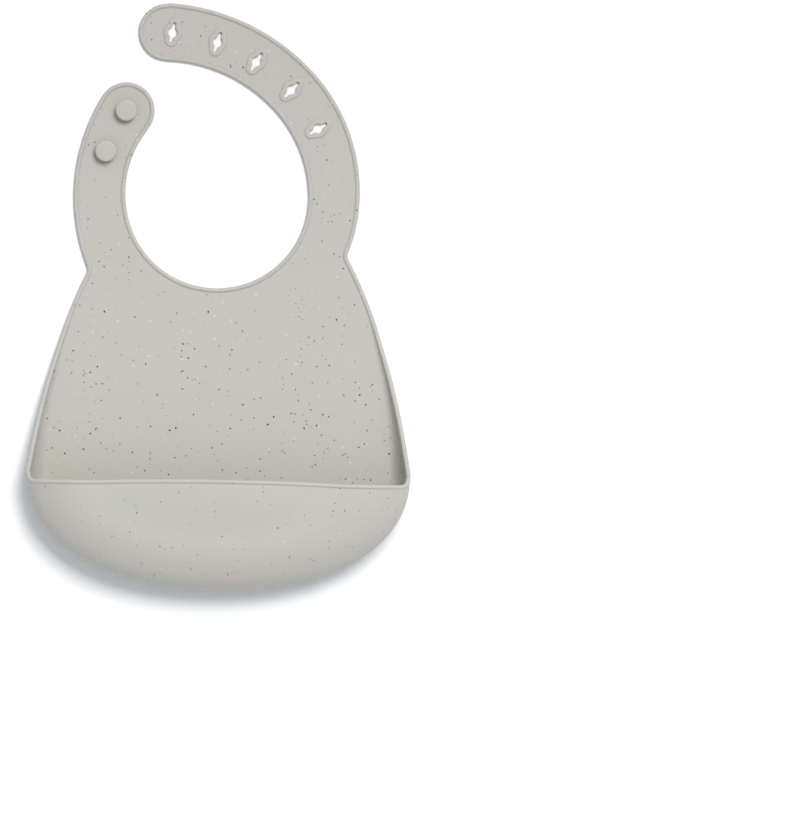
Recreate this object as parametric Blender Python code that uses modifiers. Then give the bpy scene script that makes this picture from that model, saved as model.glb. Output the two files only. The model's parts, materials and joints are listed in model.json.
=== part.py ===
"""A silicone bib with a catch pocket and a peg-and-slot neck strap, lying flat on its back.

Frame: metres. +Z points up out of the bib's front face, +Y runs from the pocket to the straps, and the
origin is at floor level under the middle of the bib. The real bib is one moulding, 1.8 mm thick with a 3 mm
round bead along every edge. Here it is cut where it flexes, and each moulded feature is its own solid.
"""

import math

import bmesh
import bpy
from mathutils import Matrix, Vector

MM = 0.001

# Sheet, bead and clearances
SHEET = 1.8 * MM
BEAD_RADIUS = 1.5 * MM
MID = SHEET / 2  # height of the sheet's middle above the floor
SEAM = 0.3 * MM  # between touching solids of one body
HINGE_GAP = 2.6 * MM  # between two strap pieces, centred on their joint
FOLD_GAP = 4.0 * MM  # between the chest panel and the neck yoke
FRONT_GAP = 0.8 * MM  # round the moving front of the pocket
SHEET_INSET = 2 * BEAD_RADIUS + SEAM  # from the bib's outline to the edge of a flat sheet
BEAD_TRIM = BEAD_RADIUS + SEAM + 0.3 * MM  # from a bead's centre line to the edge of a curved sheet

# Neck opening and straps. Arcs that follow each other share a tangent, so each centre comes from the last.
NECK = Vector((-3.5 * MM, 57.4 * MM))
NECK_RADIUS = 52.3 * MM
PEG_INNER_RADIUS = 58.8 * MM
PEG_INNER_START = 199.0  # degrees, where the peg strap leaves the neck circle
PEG_INNER_END = 143.0
PEG_TIP_CENTRE = NECK + Vector((-52.9 * MM, 48.8 * MM))
PEG_TIP_RADIUS = 16.2 * MM
PEG_OUTER_RADIUS = 110.2 * MM
PEG_OUTER_TURN = 149.2  # degrees, where the tip's circle meets the outer arc
SLOT_INNER_RADII = (74.0 * MM, 87.0 * MM)
SLOT_INNER_TURNS = (2.0, 42.0)
SLOT_OUTER_RADII = (81.7 * MM, 101.4 * MM, 123.4 * MM)
SLOT_OUTER_TURNS = (-23.6, -8.0, 43.5)
SLOT_TIP_CENTRE = NECK + Vector((-30.2 * MM, 94.1 * MM))
SLOT_TIP_RADIUS = 16.4 * MM
LEFT_NOTCH_Y = 14.4 * MM
NOTCH_SOFTNESS = 3.0 * MM

# Side edge of the right half: a Bezier curve from the shoulder notch to the pocket's corner
SIDE_CONTROLS = ((71.3, 24.7), (93.0, -13.2), (104.3, -63.2), (110.5, -102.0))
SIDE_CURVE = [Vector((x * MM, y * MM)) for x, y in SIDE_CONTROLS]

# Joints
FOLD_Y = -5.0 * MM
SHOULDER_Y = NECK.y
PEG_SHOULDER_X = -68.0 * MM
SLOT_SHOULDER_X = 63.0 * MM
STRAP_JOINTS = (  # a point on each joint's line, and the line's direction in degrees
    (NECK + Vector((50.7 * MM, 51.7 * MM)), 35.4),
    (NECK + Vector((10.7 * MM, 84.3 * MM)), 65.1),
)

# Scoop and pocket, as middle surfaces of the sheet
POCKET_TOP = -101.1 * MM  # where the side walls turn into the bowl
POCKET_HALF_WIDTH = 109.0 * MM
POCKET_DEPTH = 66.1 * MM
POCKET_POWER = 2.2  # of the superellipse that is the pocket's outline
FRONT_Z = 39.1 * MM
DOME = 2.5 * MM
CORNER_Z = 20.0 * MM
CORNER_RADIUS = 5.0 * MM
LIP_Y = -107.4 * MM
LIP_ARCH = 1.5 * MM
SIDE_RUN = 11.0 * MM  # how far the side wall leans out between the flat back and its bead
SIDE_FRONT_RUN = 35.0 * MM
BOTTOM_RUN = 20.0 * MM
BOTTOM_FRONT_RUN = 27.0 * MM
BOTTOM_Z = 20.0 * MM
LIP_HALF_WIDTH = 72.0 * MM
FRONT_HINGE_Y = POCKET_TOP - POCKET_DEPTH + BOTTOM_FRONT_RUN + FRONT_GAP / 2
SIDE_STEPS = 24
CORNER_STEPS = 10
LIP_STEPS = 24

# Pegs and slots
PEG_CENTRES = {"upper_peg": PEG_TIP_CENTRE, "lower_peg": NECK + Vector((-64.2 * MM, 25.3 * MM))}
PEG_HEAD_RADIUS = 6.0 * MM
PEG_STEM_RADIUS = 2.7 * MM
PEG_STEM_HEIGHT = 2.6 * MM
PEG_HEAD_HEIGHT = 3.0 * MM
PEG_ROUNDING = 0.7 * MM
SLOT_TURNS = (106.0, 90.7, 74.7, 56.2, 35.1)  # degrees about the neck's centre, from the tip to the root
SLOT_LEAN = (79.0, 73.5, 58.5, 46.5, 31.0)  # degrees, the direction of each slot's long axis
SLOT_REACH = (97.9 * MM, 89.0 * MM, 81.0 * MM, 75.0 * MM, 70.1 * MM)  # from the neck's centre
SLOT_HALF_LENGTH = 6.1 * MM
SLOT_END_RADIUS = 1.4 * MM
SLOT_BULGE_RADIUS = 3.1 * MM
RIM_WIDTH = 2.4 * MM
RIM_HEIGHT = 2.8 * MM

SILICONE = (0.565, 0.539, 0.491, 1.0)


# ---- Outlines --------------------------------------------------------------------------------------------

def polar(centre, radius, degrees):
    angle = math.radians(degrees)
    return centre + radius * Vector((math.cos(angle), math.sin(angle)))


def arc(centre, radius, start, end, step=5.0):
    """Points along an arc, from start to end in degrees."""
    count = max(2, math.ceil(abs(end - start) / step))
    return [polar(centre, radius, start + (end - start) * i / count) for i in range(count + 1)]


def next_centre(centre, radius, new_radius, degrees):
    """Centre of the arc of new_radius that carries on smoothly from one of radius at this angle."""
    return polar(centre, radius - new_radius, degrees)


def bezier(points, t):
    a, b, c, d = points
    u = 1 - t
    return u ** 3 * a + 3 * u * u * t * b + 3 * u * t * t * c + t ** 3 * d


def side_points(steps=40):
    """The right side edge from the notch down to the pocket's corner."""
    return [bezier(SIDE_CURVE, i / steps) for i in range(steps + 1)]


def half_width(y):
    """Half the bib's width at y, below the notches."""
    points = side_points(200)
    if y <= points[-1].y:
        return points[-1].x
    below = next(i for i, p in enumerate(points) if p.y < y)
    above, under = points[below - 1], points[below]
    share = (above.y - y) / (above.y - under.y)
    return above.x + share * (under.x - above.x)


def softened(points, corner):
    """The outline with the sharp corner at this index replaced by a small curve."""
    before = next(p for p in reversed(points[:corner]) if (p - points[corner]).length > NOTCH_SOFTNESS)
    after = next(p for p in points[corner:] if (p - points[corner]).length > NOTCH_SOFTNESS)
    curve = []
    for i in range(5):
        t = i / 4
        curve.append((1 - t) ** 2 * before + 2 * t * (1 - t) * points[corner] + t * t * after)
    return points[: points.index(before)] + curve + points[points.index(after) + 1 :]


def upper_outline():
    """The bib's edge above the fold: up the left side, round both straps and down the right side."""
    right = [p for p in side_points() if p.y > FOLD_Y] + [Vector((half_width(FOLD_Y), FOLD_Y))]
    left = [Vector((-p.x, p.y)) for p in reversed(right) if p.y < LEFT_NOTCH_Y]
    peg_outer = next_centre(PEG_TIP_CENTRE, PEG_TIP_RADIUS, PEG_OUTER_RADIUS, PEG_OUTER_TURN)
    peg_inner = next_centre(NECK, NECK_RADIUS, PEG_INNER_RADIUS, PEG_INNER_START)
    notch_turn = 180 + math.degrees(math.asin((peg_outer.y - LEFT_NOTCH_Y) / PEG_OUTER_RADIUS))
    edge = left + arc(peg_outer, PEG_OUTER_RADIUS, notch_turn, PEG_OUTER_TURN)
    edge += arc(PEG_TIP_CENTRE, PEG_TIP_RADIUS, PEG_OUTER_TURN - 10, -38, 10)
    edge += arc(peg_inner, PEG_INNER_RADIUS, PEG_INNER_END + 2, PEG_INNER_START)
    edge += arc(NECK, NECK_RADIUS, PEG_INNER_START + 4, 360 + SLOT_INNER_TURNS[0])
    centre, radius = NECK, NECK_RADIUS
    for new_radius, start, end in zip(SLOT_INNER_RADII, SLOT_INNER_TURNS, (SLOT_INNER_TURNS[1], 89.5)):
        centre = next_centre(centre, radius, new_radius, start)
        radius = new_radius
        edge += arc(centre, radius, start + 4, end)
    edge += arc(SLOT_TIP_CENTRE, SLOT_TIP_RADIUS, 262, 94, 10)
    outer = []
    centre, radius = NECK, SLOT_OUTER_RADII[0]
    ends = SLOT_OUTER_TURNS[1:] + (87.5,)
    for new_radius, start, end in zip(SLOT_OUTER_RADII, SLOT_OUTER_TURNS, ends):
        centre = next_centre(centre, radius, new_radius, start)
        radius = new_radius
        outer += arc(centre, radius, start, end)[(1 if outer else 0) :]
    edge += outer[::-1] + right[1:]
    edge = softened(edge, len(left))
    return softened(edge, len(edge) - len(right))


def inset(points, distance):
    """An open outline moved to its right-hand side, which is the bib's inside."""
    moved = []
    for i, point in enumerate(points):
        before = points[max(i - 1, 0)]
        after = points[min(i + 1, len(points) - 1)]
        first = (point - before if i else after - point).normalized()
        second = (after - point if i < len(points) - 1 else point - before).normalized()
        along = (first + second).normalized()
        stretch = max(0.5, along.dot(first))
        moved.append(point + Vector((along.y, -along.x)) * distance / stretch)
    return moved


def half_plane(point, degrees, gap=0.0):
    """(point, normal): what is kept lies on the normal's side, at least gap from the line through point."""
    normal = Vector((math.cos(math.radians(degrees)), math.sin(math.radians(degrees))))
    return point + normal * gap, normal


def depth(point, plane):
    return (point - plane[0]).dot(plane[1])


def crossing(a, b, plane):
    share = depth(a, plane) / (depth(a, plane) - depth(b, plane))
    return a + share * (b - a)


def runs(points, planes):
    """The stretches of an open line inside every half plane."""
    stretches = [points]
    for plane in planes:
        cut = []
        for stretch in stretches:
            run = []
            for a, b in zip(stretch, stretch[1:] + [None]):
                if depth(a, plane) >= 0:
                    run.append(a)
                if b is not None and depth(a, plane) * depth(b, plane) < 0:
                    run.append(crossing(a, b, plane))
                if run and (b is None or depth(b, plane) < 0):
                    cut.append(run)
                    run = []
        stretches = [s for s in cut if len(s) > 1]
    return stretches


# ---- Objects ---------------------------------------------------------------------------------------------

def material(name):
    made = bpy.data.materials.new(name)
    made.use_nodes = True
    shader = made.node_tree.nodes["Principled BSDF"]
    shader.inputs["Base Color"].default_value = SILICONE
    shader.inputs["Roughness"].default_value = 0.55
    shader.inputs["Metallic"].default_value = 0.0
    return made


def placed(name, data, collection):
    obj = bpy.data.objects.new(name, data)
    data.materials.append(material(name))
    collection.objects.link(obj)
    return obj


def curve_data(name, lines, closed):
    data = bpy.data.curves.new(name, "CURVE")
    for line in lines:
        spline = data.splines.new("POLY")
        spline.points.add(len(line) - 1)
        for point, place in zip(spline.points, line):
            point.co = (*place.to_3d(), 1.0)
        spline.use_cyclic_u = closed
    return data


def flat_sheet(name, outlines, height, collection):
    """A flat plate with its back on the floor. The first outline is its edge and the others are holes."""
    data = curve_data(name, outlines, closed=True)
    data.dimensions = "2D"
    data.fill_mode = "BOTH"
    data.extrude = height / 2
    obj = placed(name, data, collection)
    obj.location.z = height / 2
    return obj


def bead(name, line, collection):
    """A round edge along a line."""
    data = curve_data(name, [line], closed=False)
    data.dimensions = "3D"
    data.bevel_depth = BEAD_RADIUS
    data.bevel_resolution = 2
    data.use_fill_caps = True
    return placed(name, data, collection)


def flat_bead(name, line, collection):
    return bead(name, [Vector((p.x, p.y, BEAD_RADIUS)) for p in line], collection)


def shell(name, grids, collection):
    """A sheet of even thickness about a surface, given as grids of points that share their edges."""
    mesh = bpy.data.meshes.new(name)
    work = bmesh.new()
    for grid in grids:
        rows = [[work.verts.new(point) for point in row] for row in grid]
        for lower, upper in zip(rows, rows[1:]):
            for i in range(len(lower) - 1):
                work.faces.new((lower[i], lower[i + 1], upper[i + 1], upper[i]))
    bmesh.ops.remove_doubles(work, verts=work.verts, dist=0.01 * MM)
    bmesh.ops.recalc_face_normals(work, faces=work.faces)
    work.to_mesh(mesh)
    work.free()
    obj = placed(name, mesh, collection)
    thickness = obj.modifiers.new("thickness", "SOLIDIFY")
    thickness.thickness = SHEET
    thickness.offset = 0.0
    thickness.use_even_offset = True
    return obj


# ---- Scoop and pocket ------------------------------------------------------------------------------------

def rise(y):
    """How far up the side wall has grown at y: 0 at the fold and 1 at the pocket."""
    return min(1.0, max(0.0, (FOLD_Y - y) / (FOLD_Y - POCKET_TOP)))


def wall_run(y):
    return SIDE_RUN * rise(y)


def wall_height(y):
    return (CORNER_Z - MID) * rise(y) ** 2


def wall_row(y, steps=8):
    """The right side wall at y, from the flat back to the bead's centre line."""
    foot = half_width(y) - BEAD_RADIUS - wall_run(y)
    row = []
    for i in range(steps + 1):
        angle = math.pi / 2 * i / steps
        x = foot + wall_run(y) * math.sin(angle)
        row.append(Vector((x, y, MID + wall_height(y) * (1 - math.cos(angle)))))
    return row


def shortened(row, length):
    """A row of points with this length cut off its far end, and as many points as before."""
    steps = [(b - a).length for a, b in zip(row, row[1:])]
    wanted = sum(steps) - length
    cut = []
    for i in range(len(row)):
        target = wanted * i / (len(row) - 1)
        k = 0
        while k < len(steps) - 1 and target > steps[k]:
            target -= steps[k]
            k += 1
        cut.append(row[k].lerp(row[k + 1], min(1.0, target / steps[k])))
    return cut


def ellipse_inset(z, widest, reach, run):
    """How far a quarter ellipse has drawn in from its widest level."""
    share = min(1.0, abs(z - widest) / reach)
    return run * (1 - math.sqrt(1 - share * share))


def side_inset(z):
    if z < CORNER_Z:
        return ellipse_inset(z, CORNER_Z, CORNER_Z - MID, SIDE_RUN)
    return ellipse_inset(z, CORNER_Z, FRONT_Z - CORNER_Z, SIDE_FRONT_RUN)


def bottom_inset(z):
    if z < BOTTOM_Z:
        return ellipse_inset(z, BOTTOM_Z, BOTTOM_Z - MID, BOTTOM_RUN)
    return ellipse_inset(z, BOTTOM_Z, FRONT_Z - BOTTOM_Z, BOTTOM_FRONT_RUN)


def rim_y(z):
    """Where the bowl starts at this height: at its top edge, round the corner to the lip."""
    if z < CORNER_Z:
        return POCKET_TOP
    drawn = min(1.0, side_inset(z) / CORNER_RADIUS)
    return LIP_Y + CORNER_RADIUS * (1 - math.sqrt(1 - (1 - drawn) ** 2))


def superellipse(half_x, half_y, angle):
    power = 2 / POCKET_POWER
    x = math.copysign(abs(math.cos(angle)) ** power, math.cos(angle)) * half_x
    return x, POCKET_TOP - abs(math.sin(angle)) ** power * half_y


def start_angle(y, half_y):
    return math.asin(min(1.0, ((POCKET_TOP - y) / half_y) ** (POCKET_POWER / 2)))


def bowl_row(z, top, steps):
    """The pocket's bowl at one height, from the right corner round the bottom to the left one."""
    half_x = POCKET_HALF_WIDTH - side_inset(z)
    half_y = POCKET_DEPTH - bottom_inset(z)
    first = start_angle(top, half_y)
    row = []
    for i in range(steps + 1):
        x, y = superellipse(half_x, half_y, first + (math.pi - 2 * first) * i / steps)
        row.append(Vector((x, y, z)))
    return row


def dome(across, down):
    """Height of the pocket's front, across from the middle and down from the lip, each 1 at its edge."""
    spread = min(1.0, abs(across) ** POCKET_POWER + down ** POCKET_POWER)
    return FRONT_Z + DOME * (1 - spread) ** 2


def lip_y(across):
    return LIP_Y + LIP_ARCH * (1 - across * across)


def front_rows(steps, columns):
    """The pocket's domed front, from under the lip's bead down to the bottom, inside the bowl's edge."""
    rim = [point.xy for point in bowl_row(FRONT_Z, LIP_Y - BEAD_TRIM, 2 * steps)]
    edge = inset(rim, FRONT_GAP)[: steps + 1]
    widest, top, bottom = edge[0].x, edge[0].y, edge[-1].y
    grid = []
    for point in edge:
        down = (top - point.y) / (top - bottom)
        row = []
        for j in range(-columns, columns + 1):
            x = point.x * j / columns
            y = point.y + (lip_y(x / widest) - LIP_Y) * (1 - down)
            row.append(Vector((x, y, dome(x / widest, down))))
        grid.append(row)
    return grid


def levels(low, high, count):
    """Heights between two levels, closer together near both."""
    return [low + (high - low) * (1 - math.cos(math.pi * i / count)) / 2 for i in range(count + 1)]


def mirrored(row):
    return [Vector((-p.x, p.y, p.z)) for p in row]


def wall_grid(rows=15, steps=8):
    """The right side wall from the fold to the pocket, up to the edge of its bead."""
    top = FOLD_Y - FOLD_GAP / 2
    grid = []
    for k in range(rows):
        y = top + (POCKET_TOP + SEAM - top) * k / (rows - 1)
        if wall_run(y) > BEAD_TRIM:
            row = shortened(wall_row(y, steps), BEAD_TRIM)
        else:  # the wall is still narrower than its bead, so the sheet stays flat
            edge = half_width(y) - SHEET_INSET
            row = [Vector((edge - wall_run(y) * (1 - i / steps), y, MID)) for i in range(steps + 1)]
        grid.append(row)
    return grid


def make_chest_panel(collection):
    """The flat back with its two side walls, from the fold down to the pocket's bottom."""
    wall = wall_grid()
    edge = [row[0] for row in wall]
    half_x = POCKET_HALF_WIDTH - SIDE_RUN - SEAM
    half_y = POCKET_DEPTH - BOTTOM_RUN - SEAM
    for k in range(1, 15):
        x, y = superellipse(half_x, half_y, math.pi / 2 * k / 14)
        edge.append(Vector((x, y, MID)))
    flat = [[Vector((end.x * across, end.y, MID)) for across in (-1, -0.5, 0, 0.5, 1)] for end in edge]
    shell("chest_panel", [flat, wall, [mirrored(row) for row in wall]], collection)


def make_side_beads(collection):
    """The bead up each side, from the fold to the pocket's corner and round it to the lip."""
    line = []
    top = FOLD_Y - FOLD_GAP / 2
    for i in range(SIDE_STEPS + 1):
        y = top + (LIP_Y + CORNER_RADIUS - top) * i / SIDE_STEPS
        line.append(Vector((half_width(y) - BEAD_RADIUS, y, BEAD_RADIUS + wall_height(y))))
    lift = BEAD_RADIUS - MID
    for i in range(1, CORNER_STEPS + 1):
        z = CORNER_Z + (FRONT_Z - CORNER_Z) * math.sin(math.pi / 2 * i / CORNER_STEPS)
        line.append(Vector((POCKET_HALF_WIDTH - side_inset(z), rim_y(z), z + lift)))
    line.append(Vector((LIP_HALF_WIDTH + 2 * SEAM, LIP_Y, line[-1].z)))
    bead("right_side_bead", line, collection)
    bead("left_side_bead", mirrored(line), collection)


def make_pocket(collection):
    rows = []
    for z in levels(MID, FRONT_Z, 16):
        top = POCKET_TOP if z < CORNER_Z - BEAD_TRIM else LIP_Y - BEAD_TRIM
        rows.append(bowl_row(z, top, 32))
    shell("pocket_bowl", [rows], collection)

    shell("pocket_front", [front_rows(16, 10)], collection)

    line = []
    for i in range(LIP_STEPS + 1):
        across = 2 * i / LIP_STEPS - 1
        z = dome(across, 0.0) + BEAD_RADIUS - MID
        line.append(Vector((LIP_HALF_WIDTH * across, lip_y(across), z)))
    bead("pocket_lip_bead", line, collection)


# ---- Straps, slots and pegs ------------------------------------------------------------------------------

def slot_outline(turn, reach, lean, grow, count=36):
    """A long slot with round ends and a wider round middle, grown by a margin all round."""
    centre = polar(NECK, reach, turn)
    half_length = SLOT_HALF_LENGTH - SLOT_END_RADIUS
    end_radius = SLOT_END_RADIUS + grow
    bulge = SLOT_BULGE_RADIUS + grow
    outline = []
    for i in range(count):
        angle = 2 * math.pi * i / count
        along, across = abs(math.cos(angle)), abs(math.sin(angle))
        # distance to the edge of a rounded bar in this direction: its straight side, or its round end
        side = end_radius / across if across > 1e-9 else math.inf
        if side * along > half_length:
            side = half_length * along + math.sqrt(end_radius ** 2 - (half_length * across) ** 2)
        radius = (side ** 8 + bulge ** 8) ** (1 / 8)
        outline.append(polar(centre, radius, lean + math.degrees(angle)))
    return outline


def make_slot_rim(index, collection):
    """The raised rim round one slot, through the full thickness of the strap."""
    where = SLOT_TURNS[index], SLOT_REACH[index], SLOT_LEAN[index]
    outlines = [slot_outline(*where, RIM_WIDTH), slot_outline(*where, 0.0)]
    flat_sheet(f"slot_rim_{index + 1}", outlines, RIM_HEIGHT, collection)


def make_strap(name, sheet_line, bead_line, planes, bead_names, slots, collection):
    """One flat piece of the bib with its edge beads and slot rims."""
    holes = []
    for index in slots:
        where = SLOT_TURNS[index], SLOT_REACH[index], SLOT_LEAN[index]
        holes.append(slot_outline(*where, RIM_WIDTH + SEAM))
        make_slot_rim(index, collection)
    outline = [point for run in runs(sheet_line, planes) for point in run]
    flat_sheet(name, [outline] + holes, SHEET, collection)
    for bead_name, run in zip(bead_names, runs(bead_line, planes)):
        flat_bead(bead_name, run, collection)


def make_peg(name, centre, collection):
    """A turned mushroom peg: a short stem under a flat round head."""
    base = SHEET + SEAM
    neck = base + PEG_STEM_HEIGHT
    top = neck + PEG_HEAD_HEIGHT
    profile = [(0.0, top)]
    for i in range(4):
        angle = math.pi / 2 * i / 3
        x = PEG_HEAD_RADIUS - PEG_ROUNDING * (1 - math.sin(angle))
        profile.append((x, top - PEG_ROUNDING * (1 - math.cos(angle))))
    profile += [(PEG_HEAD_RADIUS, neck + PEG_ROUNDING), (PEG_HEAD_RADIUS - PEG_ROUNDING, neck)]
    profile += [(PEG_STEM_RADIUS, neck), (PEG_STEM_RADIUS, base + PEG_ROUNDING)]
    profile += [(PEG_STEM_RADIUS + PEG_ROUNDING, base), (0.0, base)]
    mesh = bpy.data.meshes.new(name)
    mesh.from_pydata([(x, 0.0, z) for x, z in profile], [(i, i + 1) for i in range(len(profile) - 1)], [])
    obj = placed(name, mesh, collection)
    obj.location = (centre.x, centre.y, 0.0)
    turned = obj.modifiers.new("turned", "SCREW")
    turned.steps = 32
    turned.render_steps = 32
    turned.use_merge_vertices = True
    turned.merge_threshold = 0.01 * MM
    turned.use_normal_calculate = True


def make_straps(collection):
    edge = upper_outline()
    sheet_line = inset(edge, SHEET_INSET)
    bead_line = inset(edge, BEAD_RADIUS)
    gap = HINGE_GAP / 2
    shoulder = Vector((0.0, SHOULDER_Y))
    above, below = half_plane(shoulder, 90, gap), half_plane(shoulder, -90, gap)
    above_fold = half_plane(Vector((0.0, FOLD_Y)), 90, FOLD_GAP / 2)
    (first, first_lean), (second, second_lean) = STRAP_JOINTS
    before_first = half_plane(first, first_lean - 90, gap)
    after_first = half_plane(first, first_lean + 90, gap)
    before_second = half_plane(second, second_lean - 90, gap)
    after_second = half_plane(second, second_lean + 90, gap)

    def strap(name, planes, bead_names, slots=()):
        make_strap(name, sheet_line, bead_line, planes, bead_names, slots, collection)

    strap("neck_yoke", [above_fold, below],
          ["left_shoulder_bead", "neckline_bead", "right_shoulder_bead"])
    left, right = half_plane(NECK, 180), half_plane(NECK, 0)
    between = NECK + Vector((0.0, (PEG_TIP_CENTRE.y + SLOT_TIP_CENTRE.y) / 2 - NECK.y))
    strap("peg_strap", [above, left, half_plane(between, -90)], ["peg_strap_bead"])
    strap("slot_strap_root", [above, right, before_first],
          ["slot_root_inner_bead", "slot_root_outer_bead"], [4])
    strap("slot_strap_middle", [after_first, before_second],
          ["slot_middle_inner_bead", "slot_middle_outer_bead"], [3, 2])
    strap("slot_strap_tip", [after_second, half_plane(between, 90)], ["slot_tip_bead"], [1, 0])


# ---- Joints ----------------------------------------------------------------------------------------------

def make_joint(name, place, turn, carrier, carried, collection):
    """An empty on a joint's line, with its X axis along it. It rides on a carrier and carries solids."""
    empty = bpy.data.objects.new(name, None)
    empty.empty_display_size = PEG_HEAD_RADIUS
    collection.objects.link(empty)
    world = Matrix.Translation(place.to_3d()) @ Matrix.Rotation(math.radians(turn), 4, "Z")
    empty.matrix_world = world
    if carrier:
        empty.parent = carrier
        empty.matrix_parent_inverse = carrier.matrix_world.inverted()
    bpy.context.view_layer.update()
    for solid in carried:
        child = bpy.data.objects[solid]
        child.parent = empty
        child.matrix_parent_inverse = world.inverted()
    return empty


def make_joints(collection):
    """The tree of joints. The chest panel, the side beads and the pocket's bowl stay still."""
    def joint(name, place, carrier, carried, turn=0.0):
        return make_joint(name, place, turn, carrier, carried, collection)

    joint("pocket_front_flex", Vector((0.0, FRONT_HINGE_Y, FRONT_Z)), None,
          ["pocket_front", "pocket_lip_bead"])
    fold = joint("panel_fold", Vector((0.0, FOLD_Y, MID)), None,
                 ["neck_yoke", "left_shoulder_bead", "neckline_bead", "right_shoulder_bead"])
    joint("peg_strap_bend", Vector((PEG_SHOULDER_X, SHOULDER_Y, MID)), fold,
          ["peg_strap", "peg_strap_bead", *PEG_CENTRES])
    root = joint("slot_strap_bend", Vector((SLOT_SHOULDER_X, SHOULDER_Y, MID)), fold,
                 ["slot_strap_root", "slot_root_inner_bead", "slot_root_outer_bead", "slot_rim_5"])
    (first, first_lean), (second, second_lean) = STRAP_JOINTS
    curl = joint("slot_strap_curl", Vector((first.x, first.y, MID)), root,
                 ["slot_strap_middle", "slot_middle_inner_bead", "slot_middle_outer_bead", "slot_rim_4",
                  "slot_rim_3"], first_lean)
    joint("slot_tip_curl", Vector((second.x, second.y, MID)), curl,
          ["slot_strap_tip", "slot_tip_bead", "slot_rim_2", "slot_rim_1"], second_lean)


def main():
    for obj in list(bpy.data.objects):
        bpy.data.objects.remove(obj, do_unlink=True)
    collection = bpy.data.collections.new("silicone_bib")
    bpy.context.scene.collection.children.link(collection)
    make_chest_panel(collection)
    make_side_beads(collection)
    make_pocket(collection)
    make_straps(collection)
    for name, centre in PEG_CENTRES.items():
        make_peg(name, centre, collection)
    make_joints(collection)


main()
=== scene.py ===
import json
import math

import bmesh
import bpy
import numpy as np
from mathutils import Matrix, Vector
from mathutils.geometry import delaunay_2d_cdt


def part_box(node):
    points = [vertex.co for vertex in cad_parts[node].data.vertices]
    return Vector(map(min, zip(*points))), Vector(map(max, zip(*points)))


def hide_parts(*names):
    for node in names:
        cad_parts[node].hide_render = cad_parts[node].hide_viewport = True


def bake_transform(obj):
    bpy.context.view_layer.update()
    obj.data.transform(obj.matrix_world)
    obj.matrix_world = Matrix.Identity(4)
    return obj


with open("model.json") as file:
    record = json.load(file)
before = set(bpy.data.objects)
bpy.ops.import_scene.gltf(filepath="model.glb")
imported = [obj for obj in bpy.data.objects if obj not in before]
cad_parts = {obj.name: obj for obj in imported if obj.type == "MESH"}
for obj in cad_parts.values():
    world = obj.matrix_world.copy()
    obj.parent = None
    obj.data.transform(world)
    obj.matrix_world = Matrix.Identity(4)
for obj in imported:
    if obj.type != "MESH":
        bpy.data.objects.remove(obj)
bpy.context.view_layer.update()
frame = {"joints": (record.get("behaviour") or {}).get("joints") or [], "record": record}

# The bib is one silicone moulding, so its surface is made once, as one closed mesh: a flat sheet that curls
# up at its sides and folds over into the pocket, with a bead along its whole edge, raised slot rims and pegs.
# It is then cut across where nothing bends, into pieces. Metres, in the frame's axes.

MM = 0.001
RECORD = frame["record"]
JOINTS = {joint["name"]: joint for joint in frame["joints"]}
MOUNTS = {mount["name"]: mount for mount in RECORD["mounts"]}


def middle(node):
    low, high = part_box(node)
    return (low + high) / 2


# Sheet and bead
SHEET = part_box("neck_yoke")[1].z
MID = SHEET / 2
BEAD_RADIUS = 1.35 * MM
LIP_BEAD_RADIUS = 1.3 * MM
BEAD_RISE = 0.45 * MM  # the bead's centre above the sheet's middle, which keeps the back flat
CORNER_BEAD_RISE = 0.1 * MM
LIP_BEAD_RISE = -0.38 * MM  # at the lip the bead stands out on the pocket's front
BEAD_STEPS = 10
POINT_SPACING = 1.5 * MM
GRID_SPACING = 4.0 * MM
WELD = 5e-6
SHARP_TURN = 45.0

# Outline, as arcs that follow each other without a kink
NECK = Vector(MOUNTS["neck_opening"]["pos_m"][:2])
NECK_RADIUS = 52.3 * MM
PEG_INNER_RADIUS = 58.8 * MM
PEG_INNER_START = 199.0
PEG_INNER_END = 143.0
PEG_TIP_CENTRE = middle("upper_peg").xy
PEG_TIP_RADIUS = 16.2 * MM
PEG_OUTER_RADIUS = 110.2 * MM
PEG_OUTER_TURN = 149.2
SLOT_INNER_RADII = (74.0 * MM, 87.0 * MM)
SLOT_INNER_TURNS = (2.0, 42.0)
SLOT_OUTER_RADII = (81.7 * MM, 101.4 * MM, 123.4 * MM)
SLOT_OUTER_TURNS = (-23.6, -8.0, 43.5)
SLOT_INNER_END = 89.0
SLOT_OUTER_END = 87.5
SLOT_TIP_TURNS = (264.0, 91.0)  # degrees, round the slot strap's tip from its inner arc to its outer one
PEG_TIP_END = -34.0
SLOT_TIP_CENTRE = NECK + Vector((-30.2 * MM, 94.1 * MM))
SLOT_TIP_RADIUS = 16.4 * MM
LEFT_NOTCH_Y = 14.4 * MM
NOTCH_SOFTNESS = 2.4 * MM
NOTCH_STEPS = 6
SIDE_CONTROLS = ((71.3, 24.7), (93.0, -13.2), (104.3, -63.2), (110.5, -102.0))
SIDE_CURVE = [Vector((x * MM, y * MM)) for x, y in SIDE_CONTROLS]

# Scoop and pocket, as the middle surface of the sheet
FOLD_Y = JOINTS["panel_fold"]["pos_m"][1]
POCKET_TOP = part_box("pocket_bowl")[1].y
POCKET_DEPTH = 66.1 * MM
POCKET_POWER = 2.2
FRONT_Z = JOINTS["pocket_front_flex"]["pos_m"][2]
DOME = 2.5 * MM
CORNER_Z = 20.0 * MM
CORNER_RADIUS = 4.0 * MM
CORNER_CLIMB = 0.8  # how steeply the edge climbs into the corner
LIP_Y = -107.4 * MM
LIP_ARCH = 1.5 * MM
SIDE_RUN = 11.0 * MM
LEAST_RUN = 2.0 * MM
SIDE_FRONT_RUN = 35.0 * MM
BOTTOM_RUN = 20.0 * MM
BOTTOM_FRONT_RUN = 27.0 * MM
BOTTOM_Z = 20.0 * MM
WALL_STEPS = 14
CORNER_STEPS = 20
FRONT_STEPS = 16
BOWL_STEPS = 132
SIDE_STEPS = 56

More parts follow.
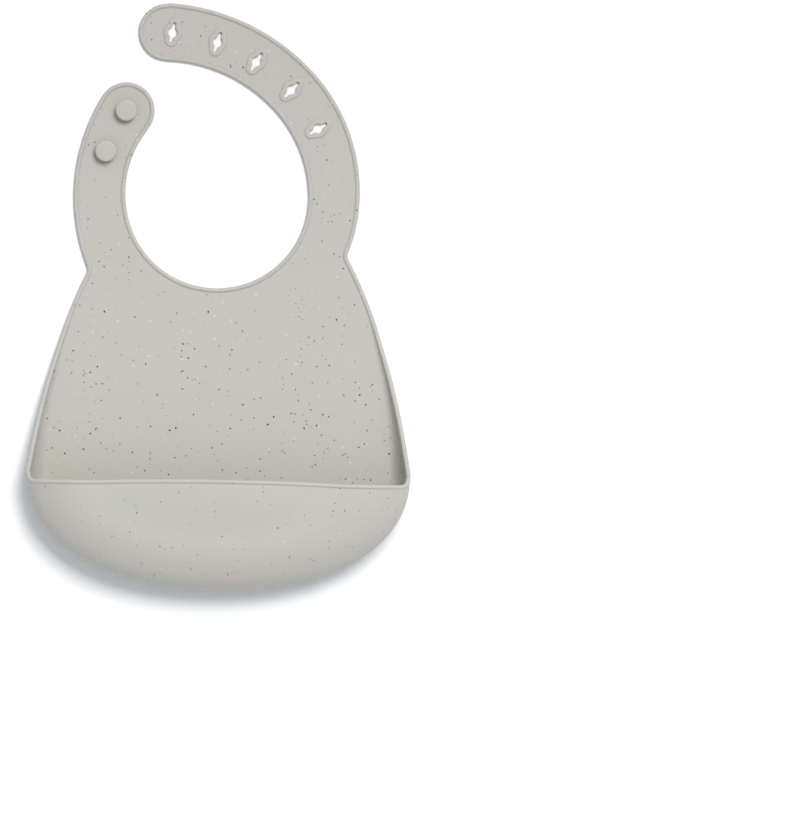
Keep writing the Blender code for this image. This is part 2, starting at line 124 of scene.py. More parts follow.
# Pegs and slots
PEGS = [middle(node).xy for node in ("upper_peg", "lower_peg")]
PEG_HEAD_RADIUS = 6.1 * MM
PEG_STEM_RADIUS = 2.8 * MM
PEG_FOOT_RADIUS = 1.2 * MM
PEG_NECK_Z = 4.4 * MM
PEG_TOP_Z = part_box("upper_peg")[1].z
PEG_POINTS = 48
PEG_CROWN = ((4.2, 0.03), (2.4, 0.06), (0.9, 0.07))  # reach and rise of the head's slight crown, mm
SLOTS = [middle(f"slot_rim_{k}").xy for k in range(1, 6)]
SLOT_LEAN = (79.0, 73.5, 58.5, 46.5, 31.0)
SLOT_HALF_LENGTH = 5.8 * MM
SLOT_END_RADIUS = 1.0 * MM
SLOT_BULGE_RADIUS = 2.7 * MM
SLOT_POINTS = 72
RIM_WIDTH = 2.45 * MM
RIM_FOOT = 0.5 * MM
RIM_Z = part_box("slot_rim_1")[1].z - 0.3 * MM

# Cuts, where the skin is split into pieces, and how far round each strap cut faces are split
POCKET_CUT_Y = -45.0 * MM
SHOULDER_CUT_Y = 20.0 * MM
STRAP_CUTS = ((25.0, 25.0, 70.0 * MM), (65.0, 52.0, 78.0 * MM))  # turn, lean, distance from the neck's centre
CUT_REACH = 40.0 * MM

# Camera and floor: the bib stands left of and above the middle of the picture, turned a little clockwise
PICTURE_HEIGHT = 481.0 * MM
PICTURE_CENTRE = Vector((103.6 * MM, -68.2 * MM))
PICTURE_ROLL = 0.97
CAMERA_HEIGHT = 12.0
SENSOR = 36.0
FLOOR_SIZE = 12.0
FLOOR_Z = -0.2 * MM
WINDOW_PLACE = (4.7, 6.9, 17.0)
WINDOW_SIZE = 7.0
WINDOW_POWER = 2620.0
WINDOW_COLOUR = (1.0, 0.985, 0.96)


# ---- Plane curves ----------------------------------------------------------------------------------------

def polar(centre, radius, degrees):
    angle = math.radians(degrees)
    return centre + radius * Vector((math.cos(angle), math.sin(angle)))


def arc(centre, radius, start, end):
    """Evenly spaced points along an arc, from start to end in degrees."""
    count = max(3, math.ceil(math.radians(abs(end - start)) * radius / POINT_SPACING))
    return [polar(centre, radius, start + (end - start) * i / count) for i in range(count + 1)]


def next_centre(centre, radius, new_radius, degrees):
    """Centre of the arc of new_radius that carries on smoothly from one of radius at this angle."""
    return polar(centre, radius - new_radius, degrees)


def bezier(points, t):
    a, b, c, d = points
    u = 1 - t
    return u ** 3 * a + 3 * u * u * t * b + 3 * u * t * t * c + t ** 3 * d


EDGE_STEPS = 300
SIDE_POINTS = [bezier(SIDE_CURVE, i / EDGE_STEPS) for i in range(EDGE_STEPS + 1)]


def side_segment(y):
    """The two points of the side edge above and below y."""
    below = next((i for i, p in enumerate(SIDE_POINTS) if p.y < y), len(SIDE_POINTS) - 1)
    return SIDE_POINTS[below - 1], SIDE_POINTS[below]


def half_width(y):
    above, under = side_segment(y)
    return above.x + (under.x - above.x) * (above.y - y) / (above.y - under.y)


def side_slant(y):
    """Length of the side edge for each unit of height at y."""
    above, under = side_segment(y)
    return (above - under).length / (above.y - under.y)


def softened(points, corner):
    """The outline with the sharp corner at this index replaced by a small curve."""
    before = next(p for p in reversed(points[:corner]) if (p - points[corner]).length > NOTCH_SOFTNESS)
    after = next(p for p in points[corner:] if (p - points[corner]).length > NOTCH_SOFTNESS)
    curve = []
    for i in range(NOTCH_STEPS + 1):
        t = i / NOTCH_STEPS
        curve.append((1 - t) ** 2 * before + 2 * t * (1 - t) * points[corner] + t * t * after)
    return points[: points.index(before)] + curve + points[points.index(after) + 1 :]


def upper_outline(bottom):
    """The bib's edge above this height: up the left side, round both straps and down the right side."""
    right = [p for p in SIDE_POINTS[::4] if p.y > bottom]
    left = [Vector((-p.x, p.y)) for p in reversed(right) if p.y < LEFT_NOTCH_Y]
    peg_outer = next_centre(PEG_TIP_CENTRE, PEG_TIP_RADIUS, PEG_OUTER_RADIUS, PEG_OUTER_TURN)
    peg_inner = next_centre(NECK, NECK_RADIUS, PEG_INNER_RADIUS, PEG_INNER_START)
    notch_turn = 180 + math.degrees(math.asin((peg_outer.y - LEFT_NOTCH_Y) / PEG_OUTER_RADIUS))
    edge = left + arc(peg_outer, PEG_OUTER_RADIUS, notch_turn, PEG_OUTER_TURN + 0.5)
    edge += arc(PEG_TIP_CENTRE, PEG_TIP_RADIUS, PEG_OUTER_TURN - 2, PEG_TIP_END)
    edge += arc(peg_inner, PEG_INNER_RADIUS, PEG_INNER_END + 1, PEG_INNER_START)
    edge += arc(NECK, NECK_RADIUS, PEG_INNER_START + 1.5, 360 + SLOT_INNER_TURNS[0])
    centre, radius = NECK, NECK_RADIUS
    ends = (SLOT_INNER_TURNS[1], SLOT_INNER_END)
    for new_radius, start, end in zip(SLOT_INNER_RADII, SLOT_INNER_TURNS, ends):
        centre = next_centre(centre, radius, new_radius, start)
        radius = new_radius
        edge += arc(centre, radius, start + 1, end)
    edge += arc(SLOT_TIP_CENTRE, SLOT_TIP_RADIUS, *SLOT_TIP_TURNS)
    outer = []
    centre, radius = NECK, SLOT_OUTER_RADII[0]
    ends = (*SLOT_OUTER_TURNS[1:], SLOT_OUTER_END)
    for new_radius, start, end in zip(SLOT_OUTER_RADII, SLOT_OUTER_TURNS, ends):
        centre = next_centre(centre, radius, new_radius, start)
        radius = new_radius
        outer += arc(centre, radius, start, end)[(1 if outer else 0) :]
    edge += outer[::-1] + right[1:]
    edge = softened(edge, len(left))
    return softened(edge, len(edge) - len(right))


def inset(points, distance):
    """An open outline moved to its right-hand side, which is the bib's inside."""
    moved = []
    for i, point in enumerate(points):
        first = (point - points[i - 1] if i else points[1] - point).normalized()
        second = (points[i + 1] - point if i < len(points) - 1 else first).normalized()
        along = (first + second).normalized()
        moved.append(point + Vector((along.y, -along.x)) * distance / max(0.6, along.dot(first)))
    return moved


def above(points, level):
    """The part of an open outline above a level, which it crosses near both of its ends."""
    kept = [p for p in points if p.y > level]
    first, last = points.index(kept[0]), points.index(kept[-1])
    ends = []
    for inside, outside in ((kept[0], points[first - 1]), (kept[-1], points[last + 1])):
        share = (inside.y - level) / (inside.y - outside.y)
        ends.append(inside.lerp(outside, share))
    return [ends[0], *kept, ends[1]]


def slot_outline(index, grow):
    """A long slot with round ends and a wider round middle, grown by a margin all round."""
    half_length = SLOT_HALF_LENGTH - SLOT_END_RADIUS
    end_radius = SLOT_END_RADIUS + grow
    bulge = SLOT_BULGE_RADIUS + grow
    outline = []
    for i in range(SLOT_POINTS):
        angle = 2 * math.pi * i / SLOT_POINTS
        angle -= 0.35 * math.sin(2 * angle)  # more points near the ends
        along, across = abs(math.cos(angle)), abs(math.sin(angle))
        side = end_radius / across if across > 1e-9 else math.inf
        if side * along > half_length:
            side = half_length * along + math.sqrt(end_radius ** 2 - (half_length * across) ** 2)
        radius = (side ** 8 + bulge ** 8) ** (1 / 8)
        outline.append(polar(SLOTS[index], radius, SLOT_LEAN[index] + math.degrees(angle)))
    return outline


def circle(centre, radius, count):
    return [polar(centre, radius, 360 * i / count) for i in range(count)]


# ---- Walls and pocket ------------------------------------------------------------------------------------

def smooth(t):
    t = min(1.0, max(0.0, t))
    return t * t * (3 - 2 * t)


def mix(a, b, t):
    return a + (b - a) * t


def rise(y):
    """How far up the side wall has grown at y: 0 at the fold and 1 at the pocket."""
    return min(1.0, max(0.0, (FOLD_Y - y) / (FOLD_Y - POCKET_TOP)))


WALL_REACH = CORNER_Z - MID
WALL_TOP = CORNER_Z - BEAD_RADIUS
# The wall's turn where its bead starts, at the pocket
LAST_TURN = math.acos(1 - (WALL_TOP - MID) / WALL_REACH)


def wall_end(y):
    """Where the right side wall ends under its bead, and the turn that it ends with."""
    turn = LAST_TURN * smooth(rise(y) / 0.7)
    height = (WALL_TOP - MID) * rise(y) ** 2
    lift = mix(BEAD_RISE, CORNER_BEAD_RISE, rise(y))
    out = BEAD_RADIUS * (1 + math.cos(turn)) - lift * math.sin(turn)
    return half_width(y) - out * side_slant(y), height, turn


FOOT_X = wall_end(POCKET_TOP)[0] - SIDE_RUN * math.sin(LAST_TURN)  # where the side wall starts at the pocket
WIDEST = FOOT_X + SIDE_RUN


def wall_row(y):
    """The right side wall at y, from the flat back up to its bead."""
    end, height, turn = wall_end(y)
    run = max(LEAST_RUN, SIDE_RUN * math.sin(LAST_TURN) * rise(y))
    row = []
    for i in range(WALL_STEPS + 1):
        share = i / WALL_STEPS
        if turn > 0.01:
            across = math.sin(turn * share) / math.sin(turn)
            up = (1 - math.cos(turn * share)) / (1 - math.cos(turn))
        else:
            across, up = share, share * share
        row.append(Vector((end - run * (1 - across), y, MID + height * up)))
    return row


def ellipse_inset(z, widest, reach, run):
    """How far a quarter ellipse has drawn in from its widest level."""
    share = min(1.0, abs(z - widest) / reach)
    return run * (1 - math.sqrt(1 - share * share))


def side_inset(z):
    if z < CORNER_Z:
        return ellipse_inset(z, CORNER_Z, WALL_REACH, SIDE_RUN)
    return ellipse_inset(z, CORNER_Z, FRONT_Z - CORNER_Z, SIDE_FRONT_RUN)


def bottom_inset(z):
    if z < BOTTOM_Z:
        return ellipse_inset(z, BOTTOM_Z, BOTTOM_Z - MID, BOTTOM_RUN)
    return ellipse_inset(z, BOTTOM_Z, FRONT_Z - BOTTOM_Z, BOTTOM_FRONT_RUN)


LIP_EDGE_Y = LIP_Y - LIP_BEAD_RADIUS  # where the sheet ends under the lip's bead


def bowl_start(z):
    """Where the bowl starts at this height: at its top edge, then round the corner to the lip."""
    if z <= WALL_TOP:
        return POCKET_TOP
    drawn = min(1.0, side_inset(z) / CORNER_RADIUS) if z > CORNER_Z else 0.0
    round_corner = LIP_EDGE_Y + CORNER_RADIUS * (1 - math.sqrt(1 - (1 - drawn) ** 2))
    return max(round_corner, POCKET_TOP - (z - WALL_TOP) / CORNER_CLIMB)


def superellipse(half_x, half_y, angle):
    power = 2 / POCKET_POWER
    x = math.copysign(abs(math.cos(angle)) ** power, math.cos(angle)) * half_x
    return x, POCKET_TOP - abs(math.sin(angle)) ** power * half_y


def bowl_row(z):
    """The pocket's bowl at one height, from the right corner round the bottom to the left one."""
    half_x = WIDEST - side_inset(z)
    half_y = POCKET_DEPTH - bottom_inset(z)
    first = math.asin(min(1.0, ((POCKET_TOP - bowl_start(z)) / half_y) ** (POCKET_POWER / 2)))
    row = []
    for i in range(BOWL_STEPS + 1):
        x, y = superellipse(half_x, half_y, first + (math.pi - 2 * first) * i / BOWL_STEPS)
        row.append(Vector((x, y, z)))
    return row


def bowl_levels():
    """Heights up the bowl: the wall's own, then round its widest part to the front."""
    wall = [MID + WALL_REACH * (1 - math.cos(LAST_TURN * i / WALL_STEPS)) for i in range(WALL_STEPS + 1)]
    left = math.pi / 2 - LAST_TURN
    corner = []
    for i in range(1, CORNER_STEPS + 1):
        turn = -left + (math.pi / 2 + left) * i / CORNER_STEPS
        reach = WALL_REACH if turn < 0 else FRONT_Z - CORNER_Z
        corner.append(CORNER_Z + reach * math.sin(turn))
    return wall + corner


def front_rows(edge):
    """The pocket's domed front, from the bowl's last row up to the lip."""
    count = len(edge) - 1
    half_x = edge[0].x
    bottom = edge[count // 2].y
    rows = []
    for k in range(1, FRONT_STEPS + 1):
        share = k / FRONT_STEPS
        row = []
        for i, start in enumerate(edge):
            even = half_x * (1 - 2 * i / count)
            lip_x = mix(start.x, even, 0.5)
            lip_y = LIP_EDGE_Y + LIP_ARCH * (1 - (lip_x / half_x) ** 2)
            x = mix(start.x, lip_x, share)
            y = mix(start.y, lip_y, share)
            across = abs(x) / half_x
            down = min(1.0, max(0.0, (LIP_EDGE_Y - y) / (LIP_EDGE_Y - bottom)))
            spread = min(1.0, across ** POCKET_POWER + down ** POCKET_POWER)
            row.append(Vector((x, y, FRONT_Z + DOME * (1 - spread) ** 2)))
        rows.append(row)
    return rows


# ---- Middle surface --------------------------------------------------------------------------------------

def inside(points, polygon):
    """Which of an array of points are inside a closed polygon."""
    corners = np.array(polygon, float)
    found = np.zeros(len(points), bool)
    for a, b in zip(corners, np.roll(corners, -1, axis=0)):
        if a[1] == b[1]:
            continue
        crosses = (points[:, 1] < a[1]) != (points[:, 1] < b[1])
        at = a[0] + (points[:, 1] - a[1]) * (b[0] - a[0]) / (b[1] - a[1])
        found ^= crosses & (points[:, 0] < at)
    return found


def flat_triangles(outline, holes):
    """Points and triangles that fill a flat outline round its holes, with a grid of points inside."""
    loops = [outline, *holes]
    rim = np.array([p for loop in loops for p in loop], float)
    xs = np.arange(rim[:, 0].min(), rim[:, 0].max(), GRID_SPACING)
    ys = np.arange(rim[:, 1].min(), rim[:, 1].max(), GRID_SPACING)
    grid = np.stack(np.meshgrid(xs, ys), axis=-1).reshape(-1, 2)
    keep = inside(grid, outline)
    for hole in holes:
        keep &= ~inside(grid, hole)
    grid = grid[keep]
    near = np.array([np.min(np.hypot(*(rim - p).T)) for p in grid])
    grid = grid[near > 0.45 * GRID_SPACING]
    edges = []
    start = 0
    for loop in loops:
        edges += [(start + i, start + (i + 1) % len(loop)) for i in range(len(loop))]
        start += len(loop)
    points = [Vector(p) for p in np.concatenate([rim, grid])]
    made = delaunay_2d_cdt(points, edges, [], 0, 1e-9)
    points, faces = made[0], made[2]
    centres = np.array([sum((points[i] for i in face), Vector((0, 0))) / 3 for face in faces], float)
    keep = inside(centres, outline)
    for hole in holes:
        keep &= ~inside(centres, hole)
    return points, [face for face, kept in zip(faces, keep) if kept]


def add_grid(work, rows):
    """Quads over rows of points."""
    made = [[work.verts.new(point) for point in row] for row in rows]
    for lower, upper in zip(made, made[1:]):
        for i in range(len(lower) - 1):
            work.faces.new((lower[i], lower[i + 1], upper[i + 1], upper[i]))


def mirrored(row):
    return [Vector((-p.x, p.y, p.z)) for p in row]


def middle_surface():
    """The middle of the silicone sheet, everywhere inside its beads, rims and pegs."""
    work = bmesh.new()
    walls = [wall_row(mix(FOLD_Y, POCKET_TOP, k / SIDE_STEPS)) for k in range(SIDE_STEPS + 1)]
    bowl = [bowl_row(z) for z in bowl_levels()]
    add_grid(work, walls)
    add_grid(work, [mirrored(row) for row in walls])
    add_grid(work, bowl + front_rows(bowl[-1]))

    upper = above(inset(upper_outline(FOLD_Y - 6 * MM), 2 * BEAD_RADIUS), FOLD_Y)
    outline = [p.xy for p in mirrored(walls[0])][1:-1] + [Vector((-walls[0][-1].x, FOLD_Y))]
    outline += upper[1:-1] + [p.xy for p in walls[0]][::-1]
    outline += [row[0].xy for row in walls[1:]]
    outline += [p.xy for p in bowl[0]][1:]
    outline += [Vector((-row[0].x, row[0].y)) for row in reversed(walls[:-1])]
    holes = [slot_outline(k, RIM_WIDTH + RIM_FOOT) for k in range(len(SLOTS))]
    holes += [circle(centre, PEG_STEM_RADIUS + PEG_FOOT_RADIUS, PEG_POINTS) for centre in PEGS]
    points, faces = flat_triangles(outline, holes)
    verts = [work.verts.new((p.x, p.y, MID)) for p in points]
    for face in faces:
        work.faces.new([verts[i] for i in face])
    loose = [v for v in work.verts if not v.link_faces]
    bmesh.ops.delete(work, geom=loose, context="VERTS")
    bmesh.ops.remove_doubles(work, verts=work.verts, dist=WELD)
    bmesh.ops.dissolve_degenerate(work, edges=work.edges, dist=1e-6)
    bmesh.ops.recalc_face_normals(work, faces=work.faces)
    flat = min(work.faces, key=lambda f: (f.calc_center_median().xy - Vector((0, -50 * MM))).length)
    if flat.normal.z < 0:
        bmesh.ops.reverse_faces(work, faces=work.faces)
    work.normal_update()
    return work


# ---- Solid skin ------------------------------------------------------------------------------------------

def boundary_loops(work):
    """Each open edge of a surface as an ordered list of vertices."""
    edges = {e for e in work.edges if e.is_boundary}
    loops = []
    while edges:
        edge = edges.pop()
        loop = [edge.verts[0], edge.verts[1]]
        while True:
            following = next((e for e in loop[-1].link_edges if e in edges), None)
            if following is None:
                break
            edges.remove(following)
            loop.append(following.other_vert(loop[-1]))
        loops.append(loop[:-1] if loop[-1] == loop[0] else loop)
    return loops


def bead_shape(point):
    """The bead's radius and its centre's rise at this point of the free edge."""
    if point.z > WALL_TOP:
        share = smooth((point.z - WALL_TOP) / (FRONT_Z - WALL_TOP))
        return mix(BEAD_RADIUS, LIP_BEAD_RADIUS, share), mix(CORNER_BEAD_RISE, LIP_BEAD_RISE, share)
    return BEAD_RADIUS, mix(BEAD_RISE, CORNER_BEAD_RISE, rise(point.y))


def bead_ring(vert, along):
    """The bead's section at one vertex of the free edge, from the sheet's front round to its back."""
    up = vert.normal
    out = along.cross(up).normalized()
    inward = sum((f.calc_center_median() for f in vert.link_faces), Vector()) / len(vert.link_faces)
    if out.dot(inward - vert.co) > 0:
        out = -out
    radius, lift = bead_shape(vert.co)
    centre = vert.co + out * radius + up * lift
    first = math.pi - math.asin(min(1.0, (MID - lift) / radius))
    last = -math.pi + math.asin(min(1.0, (MID + lift) / radius))
    ring = []
    for k in range(1, BEAD_STEPS + 1):
        angle = mix(first, last, k / BEAD_STEPS)
        ring.append(centre + radius * (math.cos(angle) * out + math.sin(angle) * up))
    return ring


def quarter(centre, radius, start, end, steps=4):
    """Points of a section's rounded corner, as (reach, height)."""
    return [tuple(polar(Vector(centre), radius, start + (end - start) * i / steps)) for i in range(steps + 1)]


def raised(outline, height):
    return [Vector((p.x, p.y, height)) for p in outline]


def slot_rings(index):
    """Rings from the sheet's front, up over the raised rim, down the slot's wall and out to the back."""
    foot, shoulder, mouth = 0.25 * MM, 0.35 * MM, 0.3 * MM
    section = quarter((RIM_WIDTH + foot, SHEET + foot), foot, -90, -180)
    section += quarter((RIM_WIDTH - shoulder, RIM_Z - shoulder), shoulder, 0, 90)
    section += quarter((mouth, RIM_Z - mouth), mouth, 90, 180)
    section += quarter((mouth, mouth), mouth, 180, 270)
    return [raised(slot_outline(index, grow), z) for grow, z in section]


def peg_rings(centre):
    """Rings from the sheet's front, up the stem, round the head and in over its top."""
    foot, edge, under = PEG_FOOT_RADIUS, 0.9 * MM, 0.5 * MM
    section = quarter((PEG_STEM_RADIUS + foot, SHEET + foot), foot, -105, -180, 5)
    section += quarter((PEG_STEM_RADIUS + under, PEG_NECK_Z - under), under, 180, 90, 3)
    section += quarter((PEG_HEAD_RADIUS - under, PEG_NECK_Z + under), under, -90, 0)
    section += quarter((PEG_HEAD_RADIUS - edge, PEG_TOP_Z - edge), edge, 0, 80, 6)
    section += [(reach * MM, PEG_TOP_Z + crown * MM) for reach, crown in PEG_CROWN]
    return [raised(circle(centre, reach, PEG_POINTS), z) for reach, z in section]


def solid_skin():
    """The whole bib as one closed mesh."""
    surface = middle_surface()
    surface.verts.index_update()
    skin = bmesh.new()
    front = [skin.verts.new(v.co + v.normal * MID) for v in surface.verts]
    back = [skin.verts.new(v.co - v.normal * MID) for v in surface.verts]
    for face in surface.faces:
        skin.faces.new([front[v.index] for v in face.verts])
        skin.faces.new([back[v.index] for v in reversed(face.verts)])

    def bridge(rings):
        for ring, following in zip(rings, rings[1:]):
            for i in range(len(ring)):
                j = (i + 1) % len(ring)
                skin.faces.new((ring[i], ring[j], following[j], following[i]))

    def matching(points):
        """The surface's vertices at these points."""
        found = []
        for point in points:
            place = Vector((point.x, point.y, MID))
            found.append(min(surface.verts, key=lambda v: (v.co - place).length_squared).index)
        return found

    def new_ring(points):
        return [skin.verts.new(p) for p in points]

    free = max(boundary_loops(surface), key=len)
    rings = []
    for i, vert in enumerate(free):
        along = (free[(i + 1) % len(free)].co - free[i - 1].co).normalized()
        rings.append(bead_ring(vert, along))
    rounds = [new_ring([ring[k] for ring in rings]) for k in range(BEAD_STEPS)]
    bridge([[front[v.index] for v in free], *rounds, [back[v.index] for v in free]])

    for index in range(len(SLOTS)):
        edge = matching(slot_outline(index, RIM_WIDTH + RIM_FOOT))
        rounds = [new_ring(points) for points in slot_rings(index)]
        bridge([[front[i] for i in edge], *rounds, [back[i] for i in edge]])

    for centre in PEGS:
        edge = matching(circle(centre, PEG_STEM_RADIUS + PEG_FOOT_RADIUS, PEG_POINTS))
        rounds = [new_ring(points) for points in peg_rings(centre)]
        bridge([[front[i] for i in edge], *rounds])
        skin.faces.new(rounds[-1])
        skin.faces.new([back[i] for i in edge])
    surface.free()
    bmesh.ops.recalc_face_normals(skin, faces=skin.faces)
    return skin


# ---- Cutting into pieces ---------------------------------------------------------------------------------

def cut_plane(number):
    """A point on a strap cut, and the direction across it towards the strap's tip."""
    turn, lean, reach = STRAP_CUTS[number]
    across = Vector((math.cos(math.radians(lean + 90)), math.sin(math.radians(lean + 90)), 0.0))
    return polar(NECK, reach, turn).to_3d(), across


def cut(skin, point, across, faces):
    edges = {e for f in faces for e in f.edges}
    verts = {v for f in faces for v in f.verts}
    bmesh.ops.bisect_plane(skin, geom=[*verts, *edges, *faces], dist=1e-7, plane_co=point, plane_no=across)


def piece_of(point):
    """The name of the piece that this point of the skin is in."""
    if point.y < POCKET_CUT_Y:
        return "pocket_skin"
    if point.y < SHOULDER_CUT_Y:
        return "chest_skin"
    if point.x < NECK.x and point.y < (PEG_TIP_CENTRE.y + SLOT_TIP_CENTRE.y) / 2:
        return "peg_strap_skin"
    names = ("slot_root_skin", "slot_middle_skin", "slot_tip_skin")
    return names[sum((point - place).dot(across) > 0 for place, across in map(cut_plane, (0, 1)))]


def make_pieces(skin):
    """The closed skin cut into named pieces, each closed at its cuts."""
    for level in (POCKET_CUT_Y, SHOULDER_CUT_Y):
        cut(skin, Vector((0, level, 0)), Vector((0, 1, 0)), list(skin.faces))
    for number in range(len(STRAP_CUTS)):
        point, across = cut_plane(number)
        near = [f for f in skin.faces if (f.calc_center_median() - point).length < CUT_REACH]
        cut(skin, point, across, near)
    groups = {}
    for face in skin.faces:
        groups.setdefault(piece_of(face.calc_center_median()), []).append(face)
    pieces = {}
    for name, faces in groups.items():
        part = bmesh.new()
        copies = {}
        for face in faces:
            for vert in face.verts:
                if vert not in copies:
                    copies[vert] = part.verts.new(vert.co)
            part.faces.new([copies[v] for v in face.verts])
        bmesh.ops.holes_fill(part, edges=[e for e in part.edges if e.is_boundary], sides=0)
        bmesh.ops.recalc_face_normals(part, faces=part.faces)
        mesh = bpy.data.meshes.new(name)
        part.to_mesh(mesh)
        part.free()
        mesh.shade_smooth()
        mesh.set_sharp_from_angle(angle=math.radians(SHARP_TURN))
        rest = mesh.attributes.new("rest", "FLOAT_VECTOR", "POINT")
        places = np.zeros(len(mesh.vertices) * 3, np.float32)
        mesh.vertices.foreach_get("co", places)
        rest.data.foreach_set("vector", places)
        pieces[name] = bpy.data.objects.new(name, mesh)
        bpy.context.scene.collection.objects.link(pieces[name])
    return pieces


# ---- Silicone --------------------------------------------------------------------------------------------

SILICONE = (0.470, 0.450, 0.412, 1.0)
SILICONE_WARM = (0.486, 0.454, 0.410, 1.0)
SILICONE_COOL = (0.446, 0.450, 0.424, 1.0)
# painted shade: a darker silicone that stands in for less light on the straps
SILICONE_PAINTED_SHADE = (0.400, 0.382, 0.350, 1.0)
DARK_SPECK = (0.045, 0.036, 0.030, 1.0)
GREY_SPECK = (0.150, 0.128, 0.110, 1.0)
PALE_SPECK = (0.570, 0.545, 0.500, 1.0)


def silicone():
    """Matte moulded silicone, with fine dark, grey and pale flecks mixed through it, and painted shade that
    darkens it towards the straps.
    """
    made = bpy.data.materials.new("speckled_silicone")
    made.use_nodes = True
    tree = made.node_tree
    shader = tree.nodes["Principled BSDF"]
    link = tree.links.new

    def node(kind, **inputs):
        new = tree.nodes.new(kind)
        for name, value in inputs.items():
            new.inputs[name].default_value = value
        return new

    def maths(operation, *values):
        new = tree.nodes.new("ShaderNodeMath")
        new.operation = operation
        for socket, value in zip(new.inputs, values):
            if isinstance(value, (int, float)):
                socket.default_value = value
            else:
                link(value, socket)
        return new.outputs[0]

    def blend_colours(share, first, second):
        new = tree.nodes.new("ShaderNodeMix")
        new.data_type = "RGBA"
        link(share, new.inputs["Factor"])
        for socket, value in ((new.inputs["A"], first), (new.inputs["B"], second)):
            if isinstance(value, tuple):
                socket.default_value = value
            else:
                link(value, socket)
        return new.outputs["Result"]

    place = tree.nodes.new("ShaderNodeAttribute")
    place.attribute_name = "rest"
    ragged = node("ShaderNodeTexNoise", Scale=1900.0, Detail=1.0)
    link(place.outputs["Vector"], ragged.inputs["Vector"])
    shake = tree.nodes.new("ShaderNodeVectorMath")
    shake.operation = "MULTIPLY_ADD"
    link(ragged.outputs["Color"], shake.inputs[0])
    shake.inputs[1].default_value = (0.0006,) * 3
    link(place.outputs["Vector"], shake.inputs[2])

    sides = tree.nodes.new("ShaderNodeSeparateXYZ")
    link(place.outputs["Vector"], sides.inputs[0])

    def spread(socket, start, end, most):
        """Rises from 0 to this much between two places along an axis."""
        new = tree.nodes.new("ShaderNodeMapRange")
        for name, value in (("From Min", start), ("From Max", end), ("To Max", most)):
            new.inputs[name].default_value = value
        link(socket, new.inputs["Value"])
        return new.outputs[0]

    thinning = maths("MAXIMUM", spread(sides.outputs["Z"], 0.004, 0.025, 0.20),
                     spread(sides.outputs["Y"], 0.0, 0.07, 0.16))

    def specks(per_metre, offset, share, size):
        """Where flecks of up to this size lie, in this share of the cells, fewer on the pocket and straps."""
        moved = tree.nodes.new("ShaderNodeVectorMath")
        moved.inputs[1].default_value = (offset, offset * 0.7, offset * 1.3)
        link(shake.outputs[0], moved.inputs[0])
        cells = node("ShaderNodeTexVoronoi", Scale=per_metre)
        link(moved.outputs[0], cells.inputs["Vector"])
        parts = tree.nodes.new("ShaderNodeSeparateColor")
        link(cells.outputs["Color"], parts.inputs[0])
        chosen = maths("SUBTRACT", parts.outputs[0], maths("MULTIPLY_ADD", thinning, share, 1 - share))
        radius = maths("MULTIPLY", chosen, size * per_metre / share)
        depth = maths("SUBTRACT", radius, cells.outputs["Distance"])
        shown = maths("MULTIPLY", depth, 1 / (0.00012 * per_metre))
        clear = maths("MAXIMUM", shown, 0.0)
        return maths("MINIMUM", clear, 1.0)

    patches = node("ShaderNodeTexNoise", Scale=28.0, Detail=2.0)
    link(place.outputs["Vector"], patches.inputs["Vector"])
    colour = blend_colours(patches.outputs["Fac"], SILICONE_COOL, SILICONE_WARM)
    clouds = node("ShaderNodeTexNoise", Scale=160.0, Detail=4.0)
    link(place.outputs["Vector"], clouds.inputs["Vector"])
    colour = blend_colours(maths("MULTIPLY", clouds.outputs["Fac"], 0.35), colour, SILICONE)
    # Painted shade: the colour darkens from below the yoke up the straps, in place of a fall in the light
    painted_shade_share = spread(sides.outputs["Y"], -0.04, 0.14, 0.7)
    colour = blend_colours(painted_shade_share, colour, SILICONE_PAINTED_SHADE)
    colour = blend_colours(specks(215.0, 0.31, 0.55, 0.00085), colour, PALE_SPECK)
    colour = blend_colours(maths("MULTIPLY", specks(290.0, 0.57, 0.85, 0.00075), 0.62), colour, GREY_SPECK)
    colour = blend_colours(specks(285.0, 0.0, 0.75, 0.00066), colour, DARK_SPECK)
    link(colour, shader.inputs["Base Color"])

    gloss = node("ShaderNodeMapRange")
    gloss.inputs["To Min"].default_value = 0.46
    gloss.inputs["To Max"].default_value = 0.60
    link(clouds.outputs["Fac"], gloss.inputs["Value"])
    link(gloss.outputs[0], shader.inputs["Roughness"])

    grain = node("ShaderNodeTexNoise", Scale=2600.0, Detail=3.0)
    link(place.outputs["Vector"], grain.inputs["Vector"])
    bump = node("ShaderNodeBump", Strength=0.25, Distance=0.00005)
    link(grain.outputs["Fac"], bump.inputs["Height"])
    link(bump.outputs[0], shader.inputs["Normal"])
    shader.inputs["IOR"].default_value = 1.42
    shader.inputs["Subsurface Weight"].default_value = 0.12
    shader.inputs["Subsurface Radius"].default_value = (1.0, 0.8, 0.6)
    shader.inputs["Subsurface Scale"].default_value = 0.002
    return made


# ---- Setting ---------------------------------------------------------------------------------------------

def make_floor():
    mesh = bpy.data.meshes.new("floor")
    half = FLOOR_SIZE / 2
    corners = [(-half, -half, 0), (half, -half, 0), (half, half, 0), (-half, half, 0)]
    mesh.from_pydata(corners, [], [(0, 1, 2, 3)])
    floor = bpy.data.objects.new("floor", mesh)
    floor.location.z = FLOOR_Z
    made = bpy.data.materials.new("white_table")
    made.use_nodes = True
    made.node_tree.nodes["Principled BSDF"].inputs["Base Color"].default_value = (0.89, 0.90, 0.91, 1.0)
    made.node_tree.nodes["Principled BSDF"].inputs["Roughness"].default_value = 0.9
    mesh.materials.append(made)
    bpy.context.scene.collection.objects.link(floor)


def area_light(name, place, size, power, colour):
    data = bpy.data.lights.new(name, "AREA")
    data.size = size
    data.energy = power
    data.color = colour
    light = bpy.data.objects.new(name, data)
    light.location = place
    light.rotation_euler = (-Vector(place)).to_track_quat("-Z", "Y").to_euler()
    bpy.context.scene.collection.objects.link(light)


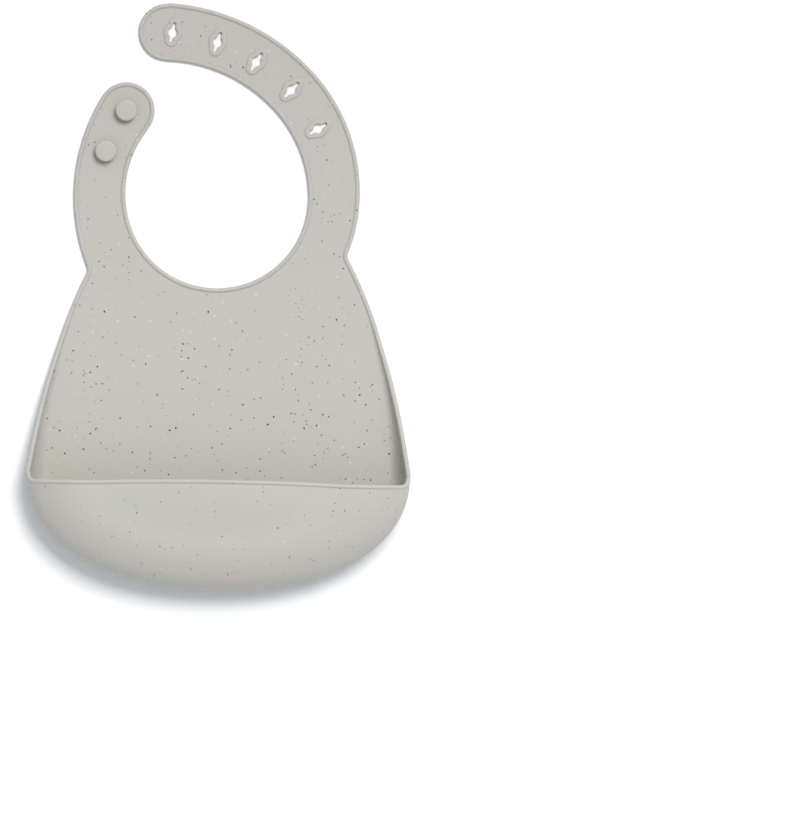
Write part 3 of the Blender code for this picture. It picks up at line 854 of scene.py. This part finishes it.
def make_setting():
    make_floor()
    area_light("window", WINDOW_PLACE, WINDOW_SIZE, WINDOW_POWER, WINDOW_COLOUR)
    world = bpy.data.worlds.new("studio")
    world.use_nodes = True
    world.node_tree.nodes["Background"].inputs["Color"].default_value = (0.93, 0.96, 1.0, 1.0)
    world.node_tree.nodes["Background"].inputs["Strength"].default_value = 0.64
    bpy.context.scene.world = world
    bpy.context.scene.view_settings.view_transform = "Standard"

    data = bpy.data.cameras.new("camera")
    data.sensor_width = SENSOR
    data.lens = SENSOR * CAMERA_HEIGHT / PICTURE_HEIGHT
    data.clip_end = 100.0
    camera = bpy.data.objects.new("camera", data)
    camera.location = (PICTURE_CENTRE.x, PICTURE_CENTRE.y, CAMERA_HEIGHT)
    camera.rotation_euler = (0.0, 0.0, math.radians(PICTURE_ROLL))
    bpy.context.scene.collection.objects.link(camera)
    bpy.context.scene.camera = camera


# ---- Putting it together ---------------------------------------------------------------------------------

def bend(piece):
    """Bakes the piece's transform into its mesh."""
    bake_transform(piece)


def bow_front(piece):
    """Bakes the pocket piece's transform into its mesh."""
    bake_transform(piece)


def main():
    pieces = make_pieces(solid_skin())
    finish = silicone()
    for piece in pieces.values():
        piece.data.materials.append(finish)
    bow_front(pieces["pocket_skin"])
    bend(pieces["chest_skin"])
    bend(pieces["peg_strap_skin"])
    bend(pieces["slot_root_skin"])
    bend(pieces["slot_middle_skin"])
    bend(pieces["slot_tip_skin"])
    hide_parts("chest_panel", "pocket_bowl", "pocket_front", "pocket_lip_bead",
                "left_side_bead", "right_side_bead")
    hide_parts("neck_yoke", "neckline_bead", "left_shoulder_bead",
                "right_shoulder_bead")
    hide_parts("peg_strap", "peg_strap_bead", "upper_peg", "lower_peg")
    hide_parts("slot_strap_root", "slot_root_inner_bead", "slot_root_outer_bead")
    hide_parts("slot_strap_middle", "slot_middle_inner_bead",
                "slot_middle_outer_bead", "slot_rim_5", "slot_rim_4")
    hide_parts("slot_strap_tip", "slot_tip_bead", "slot_rim_3", "slot_rim_2",
                "slot_rim_1")
    make_setting()


main()
